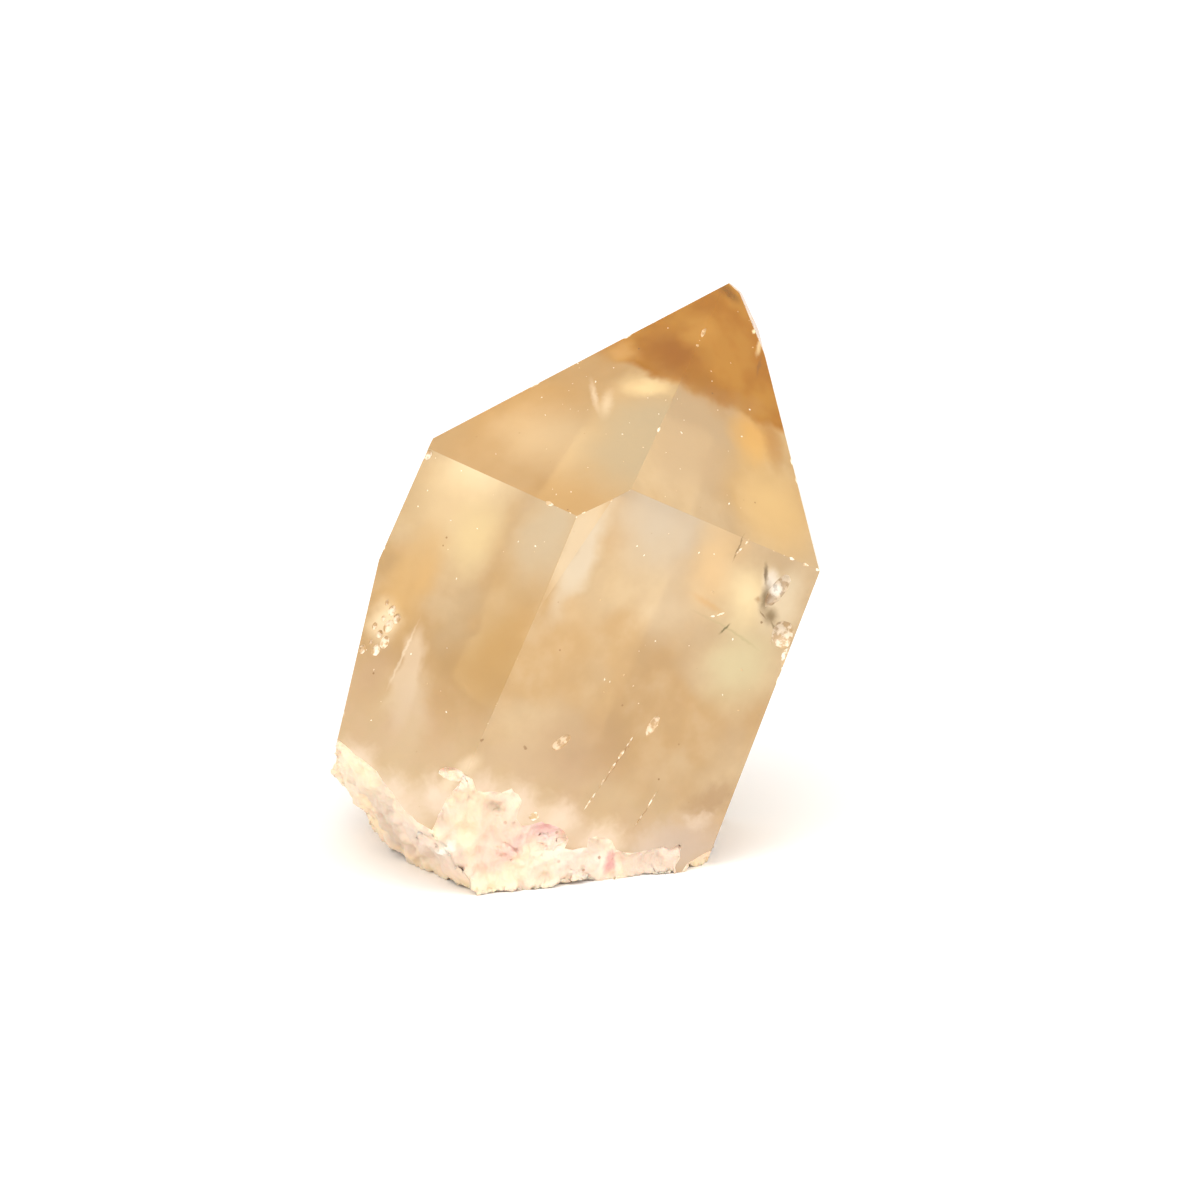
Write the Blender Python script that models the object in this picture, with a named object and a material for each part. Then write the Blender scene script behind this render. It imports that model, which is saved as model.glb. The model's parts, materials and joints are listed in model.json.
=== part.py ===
"""Citrine crystal point: one quartz crystal that stands on its broken root and leans.

Lengths are in metres and angles in degrees. The crystal is modelled upright, with its long
axis on Z and its front towards -Y, and an empty then leans it the way it stands.
A place on it is (across to the right, out to the front, up along the axis).
"""

from dataclasses import dataclass
from math import cos, radians, sin, tan

import bmesh
import bpy
from mathutils import Matrix, Vector, noise

NODE = "citrine_crystal"

# How the crystal stands: the turn to the right, the turn back, and its middle's height
LEAN_RIGHT = 23.8
LEAN_BACK = 13.5
MIDDLE_HEIGHT = 0.01785

# A tip face of quartz looks up by this angle
TIP_LOOKS_UP = 38.2

# The block that the faces are cut from, and the blocks that cut its breaks
BLOCK = 0.12
CUTTER_WIDTH = 0.034
CUTTER_DEPTH = 0.02

# How a broken surface waves: how fast finer waves weaken and shorten, and how many sizes it has
WAVE_FADE = 0.9
WAVE_STEP = 2.2
WAVE_SIZES = 4

# How uneven chips, lumps and pits are, as a share of their radius, and how often they turn on one
CHIP_UNEVEN = 0.12
LUMP_UNEVEN = 0.30
PIT_UNEVEN = 0.25
UNEVEN_TURNS = 1.7


@dataclass(frozen=True)
class Side:
    """A prism face and the tip face that it turns into at its shoulder."""

    azimuth: float
    reach: float
    shoulder: float
    looks_up: float = 0.0


@dataclass(frozen=True)
class Facet:
    """A narrow face or a flat break, by its direction and one place on it."""

    azimuth: float
    looks_up: float
    place: tuple


@dataclass(frozen=True)
class Break:
    """A rough broken surface: a facet with waves of a height and a length."""

    azimuth: float
    looks_up: float
    place: tuple
    wave: float
    grain: float
    pitch: float = 0.0010


@dataclass(frozen=True)
class Chip:
    """A small hollow where a flake has gone, as an ellipsoid turned to its face."""

    azimuth: float
    looks_up: float
    place: tuple
    radii: tuple
    roll: float = 0.0


# The six prism faces, from the front left one round to the left
SIDES = {
    "front_left": Side(-31.5, 0.01679, 0.00610),
    "front_right": Side(28.5, 0.01427, 0.00954),
    "right": Side(88.5, 0.01602, 0.00946, looks_up=2.6),
    "back_right": Side(148.5, 0.01404, 0.01076),
    "back_left": Side(-151.5, 0.01465, 0.00832),
    "left": Side(-91.5, 0.01518, 0.00692),
}

# Narrow faces: the strip beside the front edge, and the left side's lower half, which narrows
NARROW_FACES = (
    Facet(22.0, 1.3, (-0.00118, 0.01688, 0.00855)),
    Facet(-91.5, -11.0, (-0.01533, 0.0, -0.00237)),
)

# Where the very tip has broken off, in two flat steps down its right side
TIP_BREAKS = (
    Facet(75.0, 70.0, (0.00018, 0.0, 0.02680)),
    Facet(80.0, 47.0, (0.00152, 0.0, 0.02630)),
)

# The root's breaks: two on the left, the lower left front, the front band, and two at the back
ROOT_BREAKS = {
    "left": Break(-92.0, -28.3, (-0.01232, 0.0, -0.01824), 0.0006, 0.0052),
    "left_low": Break(-95.0, -58.4, (-0.00980, 0.0, -0.02045), 0.0006, 0.0050),
    "left_front": Break(-59.0, -60.4, (-0.00748, 0.01511, -0.01862), 0.0005, 0.0048, pitch=0.0009),
    "front": Break(28.5, -9.6, (0.00458, 0.01375, -0.01549), 0.00055, 0.0036, pitch=0.0007),
    "back_left": Break(-150.0, -36.0, (-0.0065, -0.0122, -0.0145), 0.0008, 0.0060),
    "back_right": Break(152.0, -30.0, (0.0070, -0.0124, -0.0105), 0.0007, 0.0055),
}

# Lumps of the mother rock that stayed on the root, by place and radius
ROOT_LUMPS = (
    ((0.00259, 0.01395, -0.01590), (0.00065, 0.0006, 0.00100)),
    ((0.00020, 0.01500, -0.01640), (0.00070, 0.0006, 0.00060)),
    ((-0.00150, 0.01560, -0.01680), (0.00100, 0.0009, 0.00080)),
    ((0.00480, 0.01250, -0.01720), (0.00130, 0.0009, 0.00090)),
    ((0.00160, 0.01350, -0.01900), (0.00110, 0.0009, 0.00150)),
    ((0.00760, 0.01090, -0.01880), (0.00150, 0.0009, 0.00090)),
    ((-0.00330, 0.01470, -0.02020), (0.00080, 0.0008, 0.00140)),
    ((-0.00400, -0.01110, -0.01500), (0.00170, 0.0012, 0.00130)),
    ((0.00730, -0.01050, -0.01200), (0.00150, 0.0011, 0.00120)),
)

# Chips: tip, right shoulder, lower right corner, front faces, right edge, back faces and edges
CHIPS = (
    Chip(88.5, 38.2, (0.00328, 0.0, 0.02526), (0.0016, 0.00070, 0.00042)),
    Chip(28.5, 0.0, (0.01300, 0.00915, 0.00690), (0.00065, 0.0015, 0.00060), roll=-16.0),
    Chip(28.5, 0.0, (0.01470, 0.00820, 0.00400), (0.00095, 0.0011, 0.00080), roll=20.0),
    Chip(50.0, 0.0, (0.01600, 0.00760, 0.00260), (0.00085, 0.0009, 0.00075)),
    Chip(70.0, -20.0, (0.01663, 0.00702, -0.01526), (0.00260, 0.0024, 0.00140)),
    Chip(28.5, 0.0, (0.00845, 0.01165, -0.00616), (0.00035, 0.0009, 0.00028), roll=-8.0),
    Chip(28.5, 0.0, (0.00263, 0.01482, -0.01000), (0.00040, 0.0009, 0.00030), roll=-35.0),
    Chip(-31.5, 0.0, (-0.00391, 0.01730, -0.01537), (0.00120, 0.0005, 0.00030), roll=10.0),
    Chip(60.0, 0.0, (0.01655, 0.00735, -0.00680), (0.00045, 0.0006, 0.00040)),
    Chip(-151.5, 0.0, (-0.00963, -0.01144, -0.00200), (0.00060, 0.0010, 0.00030), roll=25.0),
    Chip(148.5, 0.0, (0.00563, -0.01302, -0.00400), (0.00090, 0.0005, 0.00030), roll=-15.0),
    Chip(178.5, 0.0, (-0.00018, -0.01660, 0.00550), (0.00070, 0.0013, 0.00050)),
    Chip(178.5, 0.0, (-0.00018, -0.01660, -0.00520), (0.00080, 0.0009, 0.00055)),
    Chip(118.5, 0.0, (0.01640, -0.00620, -0.00150), (0.00090, 0.0014, 0.00060)),
    Chip(-121.5, 0.0, (-0.01500, -0.00860, 0.00100), (0.00080, 0.0012, 0.00070)),
    Chip(-61.5, 20.0, (-0.01530, 0.01020, 0.00560), (0.00050, 0.0005, 0.00035)),
)

# The pitted patch beside the left edge: its middle, its half sizes, how many pits and how they vary
PIT_FACE = -31.5
PIT_PATCH = (-0.01310, 0.01166, -0.00775)
PIT_HALF_WIDTH = 0.0009
PIT_HALF_HEIGHT = 0.0022
PIT_COUNT = 11
PIT_RADIUS = 0.00033
PIT_VARIES = 0.45
PIT_STRETCH = 1.3
GOLDEN_TURN = 2.4
GOLDEN_SHARE = 0.618034

# Chips this far apart get shapes of their own
CHIP_SPACING = 0.0011

# The underside: hollows around a flat patch in the middle, which the cutter stays this far below
HOLLOW_DEPTH = 0.0007
HOLLOW_GRAIN = 0.0045
HOLLOW_PITCH = 0.0010
HOLLOW_WIDTH = 0.06
HOLLOW_SHARE = 0.25
LAND_RADIUS = 0.0045
LAND_CLEARANCE = 0.0004

# The honey stone's plain finish
HONEY = (0.78, 0.52, 0.25, 1.0)
POLISH = 0.12
QUARTZ_IOR = 1.544


def outward(azimuth, looks_up):
    """The direction a face looks, from how far right of the front and how far up."""
    level = cos(radians(looks_up))
    return Vector((sin(radians(azimuth)) * level, -cos(radians(azimuth)) * level, sin(radians(looks_up))))


def point(place):
    """A place on the crystal as a point in the crystal's upright frame."""
    across, out, along = place
    return Vector((across, -out, along))


def facing(normal):
    """A turn that takes Z to a face's normal and keeps X level and Y pointing up the face."""
    level = Vector((0, 0, 1)).cross(normal)
    level = level.normalized() if level.length > 1e-6 else Vector((1, 0, 0))
    return Matrix((level, normal.cross(level), normal)).transposed().to_4x4()


def clear_scene():
    """Empties the scene the file starts with."""
    for item in list(bpy.data.objects):
        bpy.data.objects.remove(item)


def slice_off(body, place, normal):
    """Cuts away what lies outside a plane and closes the cut with one flat face."""
    cut = bmesh.ops.bisect_plane(
        body, geom=body.verts[:] + body.edges[:] + body.faces[:],
        plane_co=place, plane_no=normal, clear_outer=True)
    rim = [item for item in cut["geom_cut"] if isinstance(item, bmesh.types.BMEdge)]
    if rim:
        bmesh.ops.contextual_create(body, geom=rim)


def grown_crystal():
    """The crystal as it grew: six prism faces, six tip faces and the narrow faces."""
    body = bmesh.new()
    bmesh.ops.create_cube(body, size=BLOCK)
    for side in SIDES.values():
        face = outward(side.azimuth, side.looks_up)
        flat = outward(side.azimuth, 0.0)
        shoulder_reach = side.reach - side.shoulder * tan(radians(side.looks_up))
        slice_off(body, flat * side.reach, face)
        slice_off(body, flat * shoulder_reach + Vector((0, 0, side.shoulder)),
                  outward(side.azimuth, TIP_LOOKS_UP))
    for facet in NARROW_FACES + TIP_BREAKS:
        slice_off(body, point(facet.place), outward(facet.azimuth, facet.looks_up))
    bmesh.ops.recalc_face_normals(body, faces=body.faces)
    return body


def add_object(name, body, parent):
    """Turns a bmesh into an object under the leaning empty."""
    mesh = bpy.data.meshes.new(name)
    body.to_mesh(mesh)
    body.free()
    item = bpy.data.objects.new(name, mesh)
    item.parent = parent
    bpy.context.collection.objects.link(item)
    return item


def as_tool(item):
    """Marks an object as a shape that only cuts or builds up the crystal."""
    item.hide_render = True
    item.display_type = "WIRE"
    return item


def combine(target, tool, operation):
    """Adds an exact Boolean to the crystal."""
    step = target.modifiers.new(tool.name, "BOOLEAN")
    step.operation = operation
    step.solver = "EXACT"
    step.object = tool


def wavy_block(width, pitch, height_at):
    """A block whose lower face is a fine grid with a height at each place, and whose top is flat."""
    body = bmesh.new()
    steps = round(width / pitch)
    bmesh.ops.create_grid(body, x_segments=steps, y_segments=steps, size=width / 2)
    grid = list(body.verts)
    rim = [edge for edge in body.edges if edge.is_boundary]
    raised = bmesh.ops.extrude_edge_only(body, edges=rim)["geom"]
    for corner in (item for item in raised if isinstance(item, bmesh.types.BMVert)):
        corner.co.z = CUTTER_DEPTH
    bmesh.ops.contextual_create(body, geom=[edge for edge in body.edges if edge.is_boundary])
    for corner in grid:
        corner.co.z = height_at(corner.co.copy())
    bmesh.ops.recalc_face_normals(body, faces=body.faces)
    return body


def rough_break(name, spec, number, parent):
    """A cutter that leaves a rough broken surface."""
    offset = Vector((7.3 * number, 3.1, 1.7 * number))

    def waves(place):
        return spec.wave * noise.fractal(place / spec.grain + offset, WAVE_FADE, WAVE_STEP, WAVE_SIZES)

    body = wavy_block(CUTTER_WIDTH, spec.pitch, waves)
    body.transform(Matrix.Translation(point(spec.place)) @ facing(outward(spec.azimuth, spec.looks_up)))
    return as_tool(add_object(name, body, parent))


def rough_ball(name, centre, radii, turn, uneven, parent, detail=2):
    """An uneven ellipsoid centred on a point of the crystal, to cut with or to add."""
    body = bmesh.new()
    bmesh.ops.create_icosphere(body, subdivisions=detail, radius=1.0)
    offset = centre / CHIP_SPACING
    for corner in body.verts:
        corner.co *= 1.0 + uneven * noise.noise(corner.co * UNEVEN_TURNS + offset)
    body.transform(Matrix.Translation(centre) @ turn @ Matrix.Diagonal((*radii, 1.0)))
    return as_tool(add_object(name, body, parent))


def chip_tool(name, chip, parent):
    """A cutter for one chip, turned to the face it is on and rolled on it."""
    turn = facing(outward(chip.azimuth, chip.looks_up)) @ Matrix.Rotation(radians(chip.roll), 4, "Z")
    return rough_ball(name, point(chip.place), chip.radii, turn, CHIP_UNEVEN, parent)


def pit_tools(parent):
    """Cutters for the pitted patch, scattered over it by the golden ratio."""
    turn = facing(outward(PIT_FACE, 0.0))
    right = turn.to_3x3().col[0]
    for number in range(PIT_COUNT):
        across = ((number * GOLDEN_SHARE) % 1.0 * 2 - 1) * PIT_HALF_WIDTH
        along = ((number + 0.5) / PIT_COUNT * 2 - 1) * PIT_HALF_HEIGHT
        centre = point(PIT_PATCH) + right * across + Vector((0, 0, along))
        size = PIT_RADIUS * (1.0 + PIT_VARIES * sin(number * GOLDEN_TURN))
        radii = (size, size * PIT_STRETCH, size)
        yield rough_ball(f"pit_{number}", centre, radii, turn, PIT_UNEVEN, parent, detail=1)


def underside_tool():
    """A cutter that hollows the underside around the flat patch it rests on."""
    offset = Vector((4.0, 9.0, 2.0))

    def hollow(place):
        away = min(1.0, max(0.0, (place.length - LAND_RADIUS) / LAND_RADIUS))
        lift = noise.fractal(place / HOLLOW_GRAIN + offset, WAVE_FADE, WAVE_STEP, WAVE_SIZES) + HOLLOW_SHARE
        return LAND_CLEARANCE * (1.0 - away) - HOLLOW_DEPTH * lift * away

    body = wavy_block(HOLLOW_WIDTH, HOLLOW_PITCH, hollow)
    body.transform(Matrix.Rotation(radians(180), 4, "X"))
    return as_tool(add_object("underside_hollows", body, None))


def floor_tool():
    """A cutter that ends the crystal flat where it stands."""
    body = bmesh.new()
    bmesh.ops.create_cube(body, size=BLOCK, matrix=Matrix.Translation((0, 0, -BLOCK / 2)))
    return as_tool(add_object("standing_level", body, None))


def honey_quartz():
    """The crystal's plain see-through finish."""
    material = bpy.data.materials.new("honey_quartz")
    material.use_nodes = True
    shader = material.node_tree.nodes["Principled BSDF"]
    shader.inputs["Base Color"].default_value = HONEY
    shader.inputs["Roughness"].default_value = POLISH
    shader.inputs["Metallic"].default_value = 0.0
    shader.inputs["IOR"].default_value = QUARTZ_IOR
    shader.inputs["Transmission Weight"].default_value = 1.0
    return material


def leaning_axes():
    """The empty that carries the crystal in its standing pose."""
    axes = bpy.data.objects.new("crystal_axes", None)
    bpy.context.collection.objects.link(axes)
    axes.matrix_world = (Matrix.Translation((0, 0, MIDDLE_HEIGHT))
                         @ Matrix.Rotation(radians(-LEAN_BACK), 4, "X")
                         @ Matrix.Rotation(radians(LEAN_RIGHT), 4, "Y"))
    return axes


def centre_over_base(axes, crystal):
    """Slides the crystal so that its box is centred over the origin."""
    bpy.context.view_layer.update()
    shaped = crystal.evaluated_get(bpy.context.evaluated_depsgraph_get())
    corners = [shaped.matrix_world @ vertex.co for vertex in shaped.data.vertices]
    for axis in (0, 1):
        values = [corner[axis] for corner in corners]
        axes.location[axis] -= (min(values) + max(values)) / 2


def build():
    """Models the crystal and its breaks, and stands it on its root."""
    clear_scene()
    axes = leaning_axes()
    crystal = add_object(NODE, grown_crystal(), axes)
    crystal.data.materials.append(honey_quartz())
    for number, (name, spec) in enumerate(ROOT_BREAKS.items()):
        combine(crystal, rough_break(f"break_{name}", spec, number, axes), "DIFFERENCE")
    lump_turn = facing(outward(SIDES["front_right"].azimuth, 0.0))
    for number, (place, radii) in enumerate(ROOT_LUMPS):
        lump = rough_ball(f"lump_{number}", point(place), radii, lump_turn, LUMP_UNEVEN, axes)
        combine(crystal, lump, "UNION")
    for number, chip in enumerate(CHIPS):
        combine(crystal, chip_tool(f"chip_{number}", chip, axes), "DIFFERENCE")
    for tool in pit_tools(axes):
        combine(crystal, tool, "DIFFERENCE")
    combine(crystal, underside_tool(), "DIFFERENCE")
    combine(crystal, floor_tool(), "DIFFERENCE")
    centre_over_base(axes, crystal)


build()
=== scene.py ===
"""The looks of a citrine crystal point: a honey quartz prism with a brown tip and a pale rough root.

Lengths are in metres unless a name or a docstring says millimetres. A place on the stone is given in
millimetres in the stone's own frame: across to the right, out of the front, and up along its long axis.
"""

import json
import logging
from collections.abc import Iterator
from contextlib import contextmanager
from dataclasses import dataclass, field
from enum import IntEnum
from math import atan, atan2, cos, pi, radians, sin
from random import Random

import bpy
from mathutils import Matrix, Vector

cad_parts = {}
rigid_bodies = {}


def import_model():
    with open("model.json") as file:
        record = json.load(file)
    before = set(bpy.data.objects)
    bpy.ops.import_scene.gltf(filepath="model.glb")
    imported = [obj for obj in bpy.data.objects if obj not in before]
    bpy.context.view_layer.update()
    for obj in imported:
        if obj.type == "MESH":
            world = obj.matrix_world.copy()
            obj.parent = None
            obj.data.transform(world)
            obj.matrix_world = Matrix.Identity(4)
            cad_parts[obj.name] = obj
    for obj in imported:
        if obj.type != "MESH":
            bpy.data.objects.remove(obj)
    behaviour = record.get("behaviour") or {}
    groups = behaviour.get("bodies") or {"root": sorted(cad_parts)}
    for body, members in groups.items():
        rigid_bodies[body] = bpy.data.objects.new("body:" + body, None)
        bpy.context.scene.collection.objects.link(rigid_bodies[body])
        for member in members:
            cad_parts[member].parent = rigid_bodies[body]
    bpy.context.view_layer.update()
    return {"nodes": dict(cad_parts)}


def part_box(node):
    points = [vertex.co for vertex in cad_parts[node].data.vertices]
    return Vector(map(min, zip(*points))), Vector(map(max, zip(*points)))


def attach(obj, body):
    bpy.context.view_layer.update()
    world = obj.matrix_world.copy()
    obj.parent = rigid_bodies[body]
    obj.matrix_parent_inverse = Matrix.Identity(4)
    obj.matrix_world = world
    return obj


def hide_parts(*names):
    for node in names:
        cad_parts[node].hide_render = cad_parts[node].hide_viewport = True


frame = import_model()

log = logging.getLogger("citrine")

MM = 0.001
SOLID = "citrine_crystal"

Place = tuple[float, float, float]
Colour = tuple[float, float, float, float]
Socket = bpy.types.NodeSocket


def srgb(red: int, green: int, blue: int) -> Colour:
    """Turns a screen colour into the linear colour a shader takes.

    Args:
        red: The red share, 0 to 255.
        green: The green share, 0 to 255.
        blue: The blue share, 0 to 255.

    Returns:
        The linear colour with full opacity.
    """
    def linear(share: int) -> float:
        """One channel in linear light."""
        part = share / 255.0
        return part / 12.92 if part <= 0.04045 else ((part + 0.055) / 1.055) ** 2.4

    return linear(red), linear(green), linear(blue), 1.0


@dataclass(frozen=True)
class StoneFrame:
    """The stone's own axes: where its middle is and how it leans, in metres and degrees."""

    middle: Place = (0.00027, 0.001486, 0.01785)
    lean_right: float = 23.8
    lean_back: float = 13.5

    def turn(self) -> Matrix:
        """The turn from the stone's upright frame to the way it stands."""
        back = Matrix.Rotation(radians(-self.lean_back), 4, "X")
        return back @ Matrix.Rotation(radians(self.lean_right), 4, "Y")

    def matrix(self) -> Matrix:
        """The change from the stone's frame, in millimetres, to the world."""
        return Matrix.Translation(self.middle) @ self.turn() @ Matrix.Scale(MM, 4)

    def world(self, place: Place) -> Vector:
        """Finds the place in the world, in metres, of millimetres across, out and along."""
        across, out, along = place
        return self.matrix() @ Vector((across, -out, along))


STONE = StoneFrame()


def looks(azimuth: float, up: float) -> Vector:
    """Finds the world direction of a face.

    Args:
        azimuth: Degrees round the long axis from the front towards the right.
        up: Degrees up from square to the long axis.

    Returns:
        The direction, with a length of 1.
    """
    level = cos(radians(up))
    return STONE.turn().to_3x3() @ Vector((
        sin(radians(azimuth)) * level, -cos(radians(azimuth)) * level, sin(radians(up))))


class Facet(IntEnum):
    """The grown facets by their number in the stone's facet attribute."""

    OTHER = 0
    LEFT_PRISM = 1
    RIGHT_PRISM = 2
    STRIP = 3
    LEFT_CROWN = 4
    RIGHT_CROWN = 5
    RIGHT_SIDE = 6
    BACK_RIGHT = 7
    BACK_LEFT = 8
    LEFT_SIDE = 9
    LEFT_LOW = 10
    RIGHT_SIDE_CROWN = 11
    BACK_RIGHT_CROWN = 12
    BACK_LEFT_CROWN = 13
    LEFT_SIDE_CROWN = 14


CROWN_SLOPE = 38.2
FACET_LOOKS: dict[Facet, tuple[float, float]] = {
    Facet.LEFT_PRISM: (-31.5, 0.0),
    Facet.RIGHT_PRISM: (28.5, 0.0),
    Facet.STRIP: (22.0, 1.3),
    Facet.LEFT_CROWN: (-31.5, CROWN_SLOPE),
    Facet.RIGHT_CROWN: (28.5, CROWN_SLOPE),
    Facet.RIGHT_SIDE: (88.5, 2.6),
    Facet.BACK_RIGHT: (148.5, 0.0),
    Facet.BACK_LEFT: (-151.5, 0.0),
    Facet.LEFT_SIDE: (-91.5, 0.0),
    Facet.LEFT_LOW: (-91.5, -11.0),
    Facet.RIGHT_SIDE_CROWN: (88.5, CROWN_SLOPE),
    Facet.BACK_RIGHT_CROWN: (148.5, CROWN_SLOPE),
    Facet.BACK_LEFT_CROWN: (-151.5, CROWN_SLOPE),
    Facet.LEFT_SIDE_CROWN: (-91.5, CROWN_SLOPE),
}


def facet_of(normal: Vector, off: float = 1.0) -> Facet:
    """Finds the grown facet that looks a given way.

    Args:
        normal: The direction.
        off: How far off it may be, in degrees.

    Returns:
        The facet, or OTHER where none looks that way.
    """
    nearest = min(FACET_LOOKS, key=lambda facet: looks(*FACET_LOOKS[facet]).angle(normal))
    return nearest if looks(*FACET_LOOKS[nearest]).angle(normal) < radians(off) else Facet.OTHER


def facing(normal: Vector) -> Matrix:
    """Finds the turn that lays something on a face.

    Args:
        normal: The face's normal.

    Returns:
        The turn, which takes Z to the normal and Y up the face.
    """
    level = (STONE.turn().to_3x3() @ Vector((0, 0, 1))).cross(normal)
    level = level.normalized() if level.length > 0.01 else Vector((1, 0, 0))
    return Matrix((level, normal.cross(level), normal)).transposed().to_4x4()


def roll_along(normal: Vector, run: Vector) -> float:
    """Finds how far something on a face is rolled to lie along a direction, in radians."""
    level = facing(normal).to_3x3().transposed() @ run
    return -atan2(level.x, level.y)


def only(item: bpy.types.Object) -> None:
    """Selects one object alone and makes it active."""
    bpy.ops.object.select_all(action="DESELECT")
    item.select_set(True)
    bpy.context.view_layer.objects.active = item


def joined(items: list[bpy.types.Object]) -> bpy.types.Object:
    """Joins objects into the first of them.

    Args:
        items: The objects.

    Returns:
        The first object, which then holds them all.
    """
    bpy.ops.object.select_all(action="DESELECT")
    for item in items:
        item.select_set(True)
    bpy.context.view_layer.objects.active = items[0]
    bpy.ops.object.join()
    return items[0]


@contextmanager
def editing(item: bpy.types.Object) -> Iterator[None]:
    """Works on one object in edit mode and then goes back to object mode.

    Args:
        item: The object.

    Yields:
        Nothing, while the object is in edit mode.
    """
    only(item)
    bpy.ops.object.mode_set(mode="EDIT")
    yield
    bpy.ops.object.mode_set(mode="OBJECT")


class NodeTree:
    """Builds a material's nodes with short calls."""

    MIX_SOCKETS: dict[str, tuple[int, int]] = {"FLOAT": (2, 0), "RGBA": (6, 2)}

    def __init__(self, name: str) -> None:
        """Starts a material with its one shader and output.

        Args:
            name: The material's name.
        """
        self.material = bpy.data.materials.new(name)
        self.material.use_nodes = True
        self.tree = self.material.node_tree
        self.shader = self.tree.nodes["Principled BSDF"]
        self.output = self.tree.nodes["Material Output"]

    def add(self, kind: str, **values: object) -> bpy.types.Node:
        """Adds a node and sets its properties and inputs.

        Args:
            kind: The node's type without its ShaderNode prefix.
            **values: Properties by name, or inputs by their label with spaces as underscores.

        Returns:
            The new node.
        """
        node = self.tree.nodes.new("ShaderNode" + kind)
        for key, value in values.items():
            if hasattr(node, key):
                setattr(node, key, value)
            else:
                node.inputs[key.replace("_", " ")].default_value = value
        return node

    def link(self, source: Socket, target: Socket) -> None:
        """Joins an output to an input."""
        self.tree.links.new(source, target)

    def plain(self, **values: object) -> None:
        """Sets plain values on the shader's own sockets, by label with spaces as underscores."""
        for key, value in values.items():
            self.shader.inputs[key.replace("_", " ")].default_value = value

    def feed(self, label: str, source: Socket) -> None:
        """Joins an output to one of the shader's own sockets."""
        self.link(source, self.shader.inputs[label])

    def place(self) -> Socket:
        """Finds the place on the stone.

        Returns:
            The place in the stone's own frame, in millimetres, with Y into the stone.
        """
        coordinates = self.add("TexCoord")
        mapping = self.add("Mapping", vector_type="TEXTURE", Location=STONE.middle,
                           Rotation=STONE.turn().to_euler("XYZ"), Scale=(MM, MM, MM))
        self.link(coordinates.outputs["Object"], mapping.inputs["Vector"])
        return mapping.outputs["Vector"]

    def noise(self, place: Socket, scale: float, detail: float = 3.0, roughness: float = 0.5,
              output: str = "Fac") -> Socket:
        """Adds a cloud noise.

        Args:
            place: The place on the stone.
            scale: The noise's scale per millimetre.
            detail: How many finer layers it has.
            roughness: How strong the finer layers are.
            output: Fac for its grey value or Color for its colour.

        Returns:
            The noise.
        """
        node = self.add("TexNoise", Scale=scale, Detail=detail, Roughness=roughness)
        self.link(place, node.inputs["Vector"])
        return node.outputs[output]

    def swayed(self, place: Socket, scale: float, amount: float) -> Socket:
        """Sways a place by a cloud noise.

        Args:
            place: The place to sway.
            scale: The noise's scale per millimetre.
            amount: How far it sways at most, in millimetres.

        Returns:
            The swayed place.
        """
        centred = self.add("VectorMath", operation="SUBTRACT")
        centred.inputs[1].default_value = (0.5, 0.5, 0.5)
        self.link(self.noise(place, scale, output="Color"), centred.inputs[0])
        sway = self.add("VectorMath", operation="MULTIPLY_ADD")
        sway.inputs[1].default_value = (2 * amount, 2 * amount, 2 * amount)
        self.link(centred.outputs[0], sway.inputs[0])
        self.link(place, sway.inputs[2])
        return sway.outputs[0]

    def between(self, value: Socket, low: float, high: float, start: float = 0.0, end: float = 1.0) -> Socket:
        """Maps a value smoothly from one range to another.

        Args:
            value: The value.
            low: Where it starts.
            high: Where it ends.
            start: The result up to low.
            end: The result from high on.

        Returns:
            The result.
        """
        node = self.add("MapRange", interpolation_type="SMOOTHSTEP", From_Min=low, From_Max=high,
                        To_Min=start, To_Max=end)
        self.link(value, node.inputs["Value"])
        return node.outputs["Result"]

    def fill(self, node: bpy.types.Node, first_input: int, *sources: object) -> None:
        """Fills a node's inputs in order.

        Args:
            node: The node.
            first_input: The number of the first input to fill.
            *sources: What goes into each, a socket, or a plain number or colour.
        """
        for number, source in enumerate(sources, first_input):
            if isinstance(source, (int, float, tuple)):
                node.inputs[number].default_value = source
            else:
                self.link(source, node.inputs[number])

    def math(self, operation: str, first: object, second: object) -> Socket:
        """Adds a sum of two values.

        Args:
            operation: The kind of sum.
            first: A socket or a number.
            second: A socket or a number.

        Returns:
            The result.
        """
        node = self.add("Math", operation=operation)
        self.fill(node, 0, first, second)
        return node.outputs["Value"]

    def mix(self, kind: str, share: Socket, first: object, second: object) -> Socket:
        """Blends two colours or two values by a share.

        Args:
            kind: The Mix node's kind, RGBA or FLOAT, whose first input and result MIX_SOCKETS numbers.
            share: How much of the second shows.
            first: A socket, or a plain colour or number.
            second: A socket, or a plain colour or number.

        Returns:
            The blend.
        """
        first_input, result = self.MIX_SOCKETS[kind]
        node = self.add("Mix", data_type=kind)
        self.link(share, node.inputs["Factor"])
        self.fill(node, first_input, first, second)
        return node.outputs[result]

    def colours(self, share: Socket, first: object, second: object) -> Socket:
        """Blends two colours by how much of the second shows."""
        return self.mix("RGBA", share, first, second)

    def values(self, share: Socket, first: object, second: object) -> Socket:
        """Blends two values by how much of the second shows."""
        return self.mix("FLOAT", share, first, second)

    def specks(self, place: Socket, scale: float, size: float, rare: float, full: float) -> Socket:
        """Strews small round dots where a cloud noise is high.

        Args:
            place: The place on the stone.
            scale: Dots per millimetre.
            size: A dot's radius as a share of its cell.
            rare: The noise at which dots begin to show.
            full: The noise at which they show fully.

        Returns:
            1 in the middle of a dot and 0 between dots.
        """
        cells = self.add("TexVoronoi", Scale=scale)
        self.link(place, cells.inputs["Vector"])
        here = self.between(self.noise(place, 0.5, 1.0), rare, full)
        return self.math("MULTIPLY", self.between(cells.outputs["Distance"], size, size / 2), here)

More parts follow.
